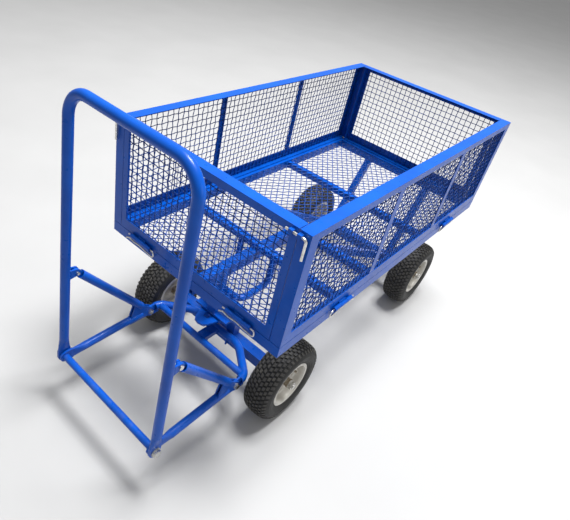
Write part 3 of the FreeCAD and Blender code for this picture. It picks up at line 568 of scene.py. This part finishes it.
class Welds:
    """Weld beads of one body, gathered into one piece."""

    def __init__(self, body):
        self.body, self.build = body, Build()

    def bead(self, path, radius=0.0022):
        """Rippled bead along a path of points."""
        path = np.asarray(path, float)
        spans = np.linalg.norm(np.diff(path, axis=0), axis=1)
        total = spans.sum()
        count = max(4, int(total / 0.0011))
        distance = np.linspace(0, total, count)
        knots = np.concatenate([[0], np.cumsum(spans)])
        smooth = np.stack([np.interp(distance, knots, path[:, k]) for k in range(3)], -1)
        ripple = radius * (0.86 + 0.14 * np.abs(np.sin(distance / 0.0034 * math.pi)))
        ripple[0] = ripple[-1] = radius * 0.4
        tangent = np.gradient(smooth, axis=0)
        tangent /= np.linalg.norm(tangent, axis=1)[:, None]
        guide = np.array([0.3, 0.5, 0.81])
        if abs(tangent[0] @ guide) >= 0.9:
            guide = np.array([1.0, 0, 0])
        side = np.cross(tangent, guide)
        side /= np.linalg.norm(side, axis=1)[:, None]
        other = np.cross(tangent, side)
        angles = np.arange(6) * math.pi / 3
        across, up = np.cos(angles)[None, :, None], np.sin(angles)[None, :, None]
        ring = side[:, None] * across + other[:, None] * up
        points = (smooth[:, None] + ring * ripple[:, None, None]).reshape(-1, 3)
        start = np.arange(count - 1)[:, None] * 6
        here = np.arange(6)[None]
        after = (here + 1) % 6
        corners = [start + here, start + after, start + 6 + after, start + 6 + here]
        quads = np.stack(corners, -1).reshape(-1, 4)
        self.build.add(points, quads)

    def both(self, path, radius=0.0022):
        """Bead and its mirror image on the other side of the cart."""
        self.bead(path, radius)
        self.bead([(x, -y, z) for x, y, z in path], radius)

    def ring(self, centre, axis, radius, bead):
        """Bead round a tube, and its mirror image."""
        axis = unit(axis)
        side = unit(np.cross(axis, (0.31, 0.2, 0.93)))
        other = np.cross(axis, side)
        angles = np.radians(np.linspace(0, 360, 48))
        path = [np.asarray(centre) + radius * (math.cos(a) * side + math.sin(a) * other) for a in angles]
        self.bead(path, bead)
        self.bead([p * (1, -1, 1) for p in path], bead)

    def finish(self):
        """Make the piece and tie it to its body."""
        piece = self.build.finish("welds_" + self.body, "blue_paint")
        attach(piece, self.body)


def deck_tube_spans(centre):
    """Ends of the beads on the two deck tubes of the hinge at centre."""
    return ((centre - 0.051, centre - 0.021), (centre + 0.021, centre + 0.051))


chassis = Welds("chassis")
for x in MEMBERS:
    for edge in (-0.015, 0.015):
        chassis.both([(x + edge, 0.360, 0.526), (x + edge, 0.360, 0.5505)])
    chassis.both([(x - 0.015, 0.360, 0.526), (x + 0.015, 0.360, 0.526)])
for x, y in ((0.72, 0.36), (-0.72, 0.36)):
    chassis.both([(x, y, 0.522), (x, y, 0.559)], 0.0026)
for x in (-HINGE_AT_SIDE, HINGE_AT_SIDE):
    for a, b in deck_tube_spans(x):
        chassis.both([(a, 0.4030, 0.5490), (b, 0.4030, 0.5490)])
for y in (-HINGE_AT_END, HINGE_AT_END):
    for a, b in deck_tube_spans(y):
        for x in (0.7630, -0.7630):
            chassis.bead([(x, a, 0.5490), (x, b, 0.5490)])
for x in (0.165, 0.195, 0.385, 0.415):
    chassis.both([(x, 0.0190, 0.5258), (x, -0.0005, 0.5258)])
for x in (0.570, 0.610):
    chassis.bead([(x, -0.020, 0.312), (x, 0.020, 0.312)], 0.003)
    chassis.bead([(x, -0.019, 0.486), (x, 0.019, 0.486)], 0.0026)
chassis.both([(0.570, 0.020, 0.312), (0.610, 0.020, 0.312)], 0.003)
for y in (0.160, 0.190):
    chassis.both([(-0.5525, y, 0.1875), (-0.5075, y, 0.1875)], 0.003)
    chassis.both([(-0.7500, y, 0.5200), (-0.7240, y, 0.5200)], 0.0026)
chassis.finish()

steering = Welds("steering")
for y in (-0.073, -0.037, 0.037, 0.073):
    for z in (0.1875, 0.2920):
        steering.bead([(0.502, y, z), (0.538, y, z)], 0.0028)
for x in (0.502, 0.538):
    for z in (0.1875, 0.2920):
        steering.both([(x, 0.037, z), (x, 0.073, z)], 0.0028)
for y in (-0.065, -0.059, 0.059, 0.065):
    steering.bead([(0.5425, y, 0.156), (0.5425, y, 0.186)], 0.0022)
steering.ring((0.6510, 0.2215, LOOP_Z), (0, 1, 0), 0.0135, 0.0024)
for z in (0.1820, 0.2130):
    steering.both([(0.6760, 0.2340, z), (0.6760, 0.2420, z)], 0.0022)
for y in (-0.0195, 0.0195):
    steering.bead([(0.6400, y, 0.2075), (0.5720, y, 0.2075)], 0.0016)
steering.finish()

tow = Welds("tow_frame")
lower_slope = (FOOT_Z - LOOP_Z) / (FOOT_X - PIVOT_X)
for offset in (-0.0048, 0.0048):
    for z_side in (1, -1):
        path = []
        for x in (0.744, 0.770, 0.798):
            axis_z = LOOP_Z + lower_slope * (x - PIVOT_X)
            path.append((x, LINK_Y + offset * 1.95, axis_z + z_side * 0.0118))
        tow.both(path, 0.0022)
tow.both([(0.7590, 0.2335, 0.2690), (0.7790, 0.2335, 0.2615)], 0.0022)
tow.both([(0.7590, 0.2425, 0.2690), (0.7790, 0.2425, 0.2615)], 0.0022)
tow.finish()

for hand, side in SIDES.items():
    panel = Welds("panel_" + hand)
    for x in (-BAR_AT, BAR_AT):
        for edge in (-0.015, 0.015):
            panel.bead([(x + edge, side * 0.3968, 0.602), (x + edge, side * 0.3968, 0.611)], 0.0016)
        panel.bead([(x - 0.015, side * 0.3995, 0.602), (x + 0.015, side * 0.3995, 0.602)], 0.0012)
        panel.bead([(x - 0.015, side * 0.3995, 0.945), (x + 0.015, side * 0.3995, 0.945)], 0.0012)
    for x in (-HINGE_AT_SIDE, HINGE_AT_SIDE):
        panel.bead([(x - 0.018, side * 0.4030, 0.5730), (x + 0.018, side * 0.4030, 0.5730)], 0.002)
    for x in (-0.7635, 0.7635):
        for z in LATCH_EYE_ENDS:
            panel.bead([(x, side * 0.3632, z), (x, side * 0.3768, z)], 0.0018)
    panel.finish()

for end, sign in (("front", 1), ("rear", -1)):
    panel = Welds("panel_" + end)
    for y in (-HINGE_AT_END, HINGE_AT_END):
        panel.bead([(sign * 0.7630, y - 0.018, 0.5730), (sign * 0.7630, y + 0.018, 0.5730)], 0.002)
    for y in (-0.341, 0.341):
        for z in LATCH_EYE_ENDS:
            panel.bead([(sign * 0.7605, y - 0.0068, z), (sign * 0.7605, y + 0.0068, z)], 0.0018)
    panel.finish()

handle = Welds("handle")
for z in (0.5300, 0.5640):
    for y in (0.2446, 0.2534):
        handle.both([(1.0400, y, z - 0.002), (1.0435, y, z)], 0.0016)
handle.finish()


# ---------------------------------------------------------------- stage, lights and camera

floor_material, floor_tree, floor_shader = new_material("pale_floor")
floor_place = floor_tree.nodes.new("ShaderNodeTexCoord")
floor_tone = ramp(floor_tree, noise(floor_tree, floor_place, 2.0), [(0.3, grey(0.40)), (0.7, grey(0.42))])
floor_tree.links.new(floor_tone, floor_shader.inputs["Base Color"])
floor_shader.inputs["Roughness"].default_value = 0.9
bpy.ops.mesh.primitive_plane_add(size=60, location=(0, 0, -0.0005))
floor = bpy.context.object
floor.name = "floor"
floor.data.materials.append(floor_material)

world = bpy.data.worlds.new("studio")
scene.world = world
world.use_nodes = True
world_tree = world.node_tree
sky_place = world_tree.nodes.new("ShaderNodeTexCoord")
sky_height = world_tree.nodes.new("ShaderNodeSeparateXYZ")
world_tree.links.new(sky_place.outputs["Generated"], sky_height.inputs[0])
sky_stops = [(0.0, grey(0.30)), (0.35, grey(0.34)), (1.0, grey(0.70))]
sky_tone = ramp(world_tree, sky_height.outputs["Z"], sky_stops)
world_tree.links.new(sky_tone, world_tree.nodes["Background"].inputs["Color"])
world_tree.nodes["Background"].inputs["Strength"].default_value = 1.0


def area_light(name, place, target, size, power):
    """White rectangular light that faces its target."""
    data = bpy.data.lights.new(name, "AREA")
    data.shape = "RECTANGLE"
    data.size, data.size_y = size
    data.energy = power
    light = bpy.data.objects.new(name, data)
    scene.collection.objects.link(light)
    light.location = place
    light.rotation_euler = (Vector(target) - Vector(place)).to_track_quat("-Z", "Y").to_euler()


area_light("key", (-1.2, 0.6, 7.5), (0, 0, 0.3), (2.4, 2.4), 1150)
area_light("side", (-0.4, 4.2, 1.6), (0, 0, 0.5), (3.0, 1.4), 25)

camera_data = bpy.data.cameras.new("camera")
camera_data.sensor_width = 36.0
camera_data.lens = 32.68
camera_data.shift_x = 0.0632
camera_data.shift_y = -0.0383
camera = bpy.data.objects.new("camera", camera_data)
scene.collection.objects.link(camera)
camera_place = (1.726, 0.898, 1.674)
forward = Vector((-0.669, -0.476, -0.571)).normalized()
down = Vector((0.336, 0.491, -0.804))
down = (down - forward * down.dot(forward)).normalized()
right = down.cross(forward)
camera.matrix_world = Matrix((
    (right.x, -down.x, -forward.x, camera_place[0]),
    (right.y, -down.y, -forward.y, camera_place[1]),
    (right.z, -down.z, -forward.z, camera_place[2]),
    (0, 0, 0, 1),
))
scene.camera = camera
scene.view_settings.view_transform = "Standard"
scene.view_settings.look = "None"
